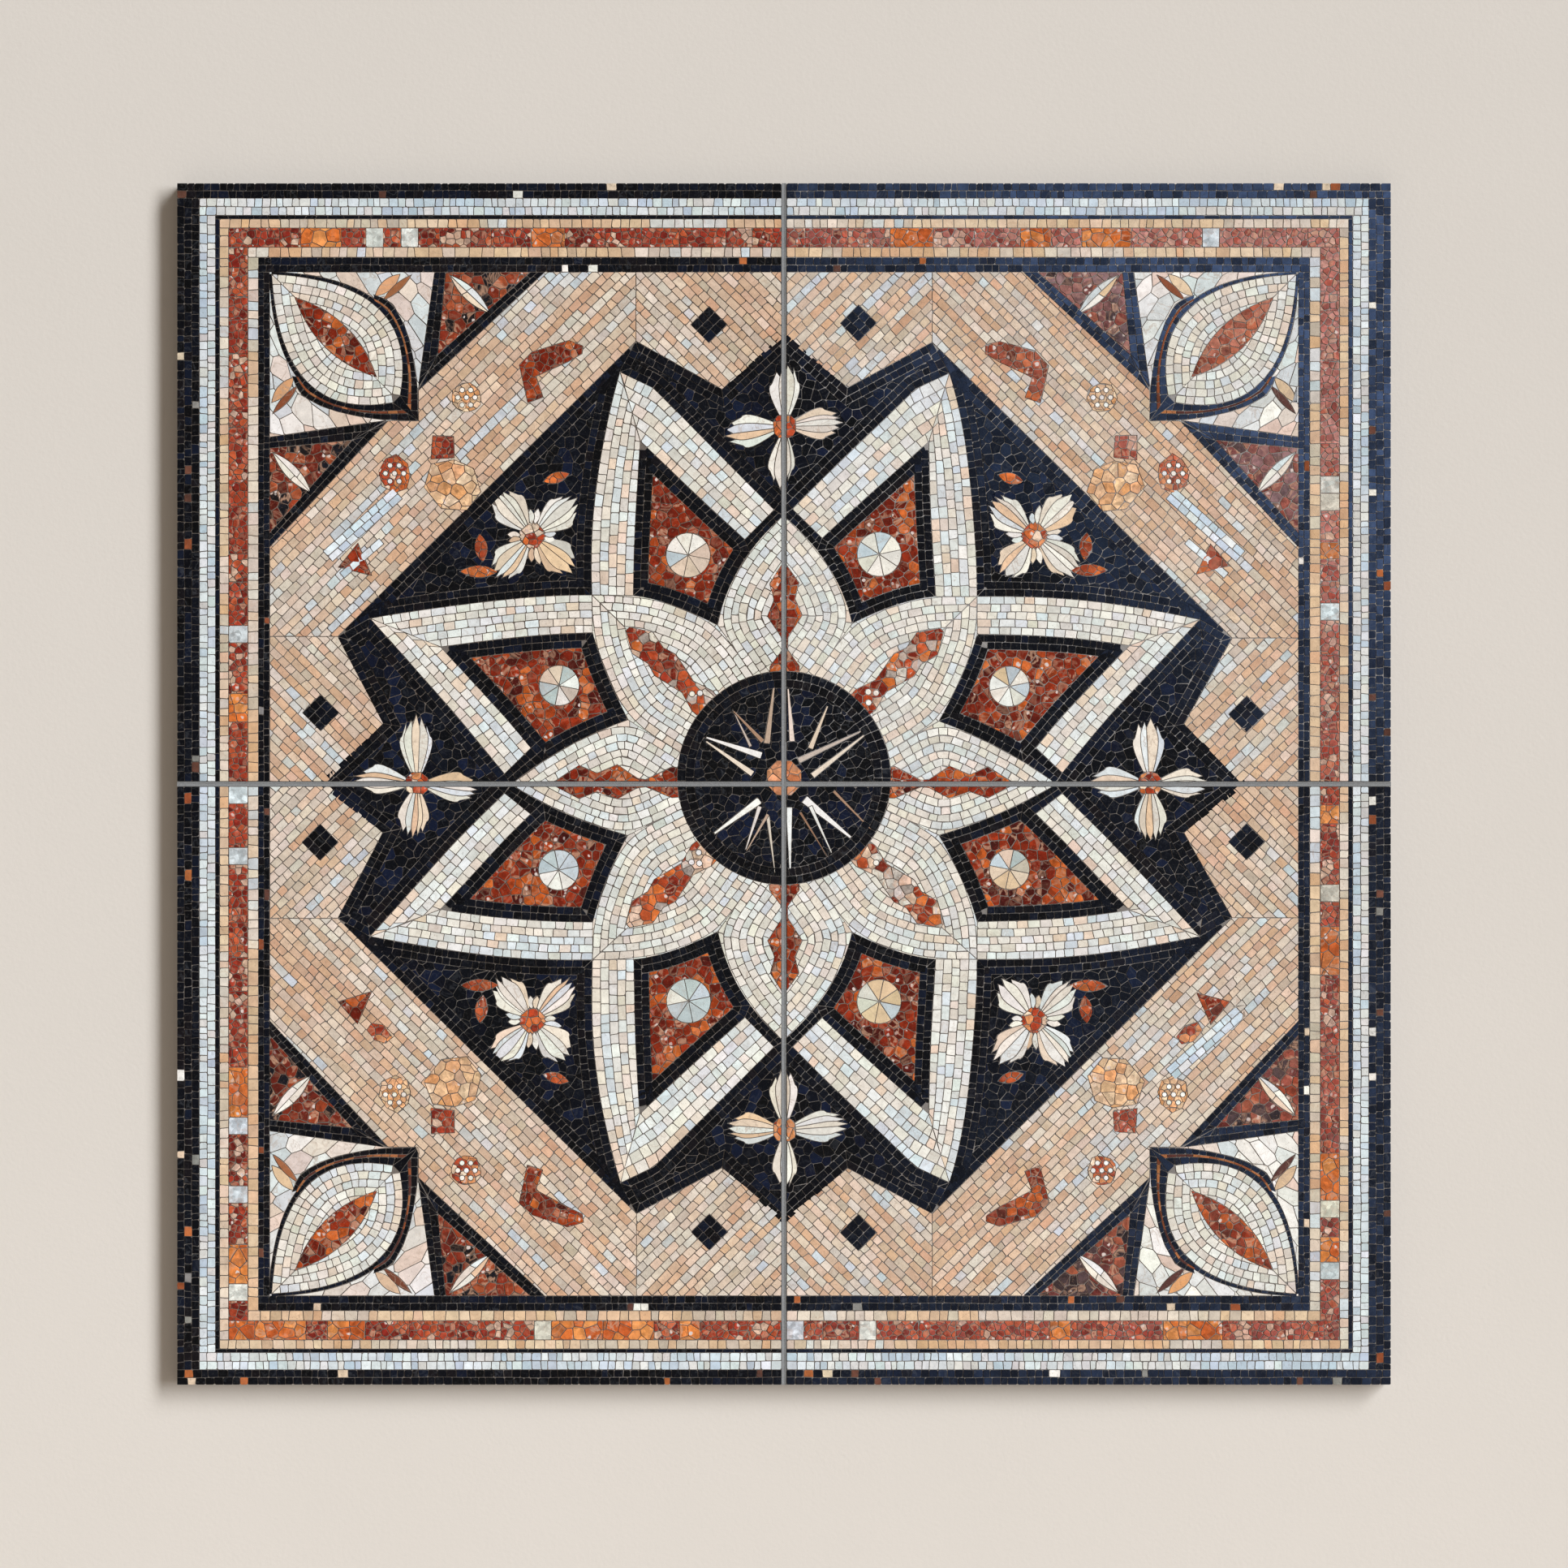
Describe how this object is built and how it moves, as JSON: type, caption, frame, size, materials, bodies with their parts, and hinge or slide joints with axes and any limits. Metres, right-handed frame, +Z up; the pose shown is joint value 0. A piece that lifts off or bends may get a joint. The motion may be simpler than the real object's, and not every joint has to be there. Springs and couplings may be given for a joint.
{
  "type": "stone mosaic wall panel",
  "caption": "Square stone mosaic wall panel in grouted sections, with a star, petals, flowers and corner leaves inside striped borders.",
  "frame": {"origin": "centre of the panel's back, on the crossing of the grouted joints, where it meets the wall", "axes": "+Y out of the back into the wall, +X to the right as seen from the front, +Z up"},
  "size_m": [1.2, 0.018, 1.188],
  "materials": {
    "dark_stone": "honed black and navy stone tesserae",
    "pale_stone": "honed cream and pale grey marble tesserae",
    "white_stone": "honed white marble tesserae",
    "peach_stone": "honed peach limestone tesserae",
    "red_stone": "polished red and orange breccia",
    "grout": "matt grey cement grout"
  },
  "bodies": {
    "root": {"section_top_left": "dark_stone", "white_border_top_left": "white_stone", "peach_border_top_left": "peach_stone", "red_border_top_left": "red_stone", "peach_field_top_left": "peach_stone", "star_top_left": "pale_stone", "corner_leaf_top_left": "pale_stone", "triangle_upper_top_left": "red_stone", "triangle_side_top_left": "red_stone", "kite_upper_top_left": "red_stone", "kite_side_top_left": "red_stone", "flower_corner_top_left": "pale_stone", "flower_upper_top_left": "pale_stone", "flower_side_top_left": "pale_stone", "section_top_right": "dark_stone", "white_border_top_right": "white_stone", "peach_border_top_right": "peach_stone", "red_border_top_right": "red_stone", "peach_field_top_right": "peach_stone", "star_top_right": "pale_stone", "corner_leaf_top_right": "pale_stone", "triangle_upper_top_right": "red_stone", "triangle_side_top_right": "red_stone", "kite_upper_top_right": "red_stone", "kite_side_top_right": "red_stone", "flower_corner_top_right": "pale_stone", "flower_upper_top_right": "pale_stone", "flower_side_top_right": "pale_stone", "section_bottom_left": "dark_stone", "white_border_bottom_left": "white_stone", "peach_border_bottom_left": "peach_stone", "red_border_bottom_left": "red_stone", "peach_field_bottom_left": "peach_stone", "star_bottom_left": "pale_stone", "corner_leaf_bottom_left": "pale_stone", "triangle_upper_bottom_left": "red_stone", "triangle_side_bottom_left": "red_stone", "kite_upper_bottom_left": "red_stone", "kite_side_bottom_left": "red_stone", "flower_corner_bottom_left": "pale_stone", "flower_upper_bottom_left": "pale_stone", "flower_side_bottom_left": "pale_stone", "section_bottom_right": "dark_stone", "white_border_bottom_right": "white_stone", "peach_border_bottom_right": "peach_stone", "red_border_bottom_right": "red_stone", "peach_field_bottom_right": "peach_stone", "star_bottom_right": "pale_stone", "corner_leaf_bottom_right": "pale_stone", "triangle_upper_bottom_right": "red_stone", "triangle_side_bottom_right": "red_stone", "kite_upper_bottom_right": "red_stone", "kite_side_bottom_right": "red_stone", "flower_corner_bottom_right": "pale_stone", "flower_upper_bottom_right": "pale_stone", "flower_side_bottom_right": "pale_stone", "joint_grout": "grout"}
  },
  "joints": []
}
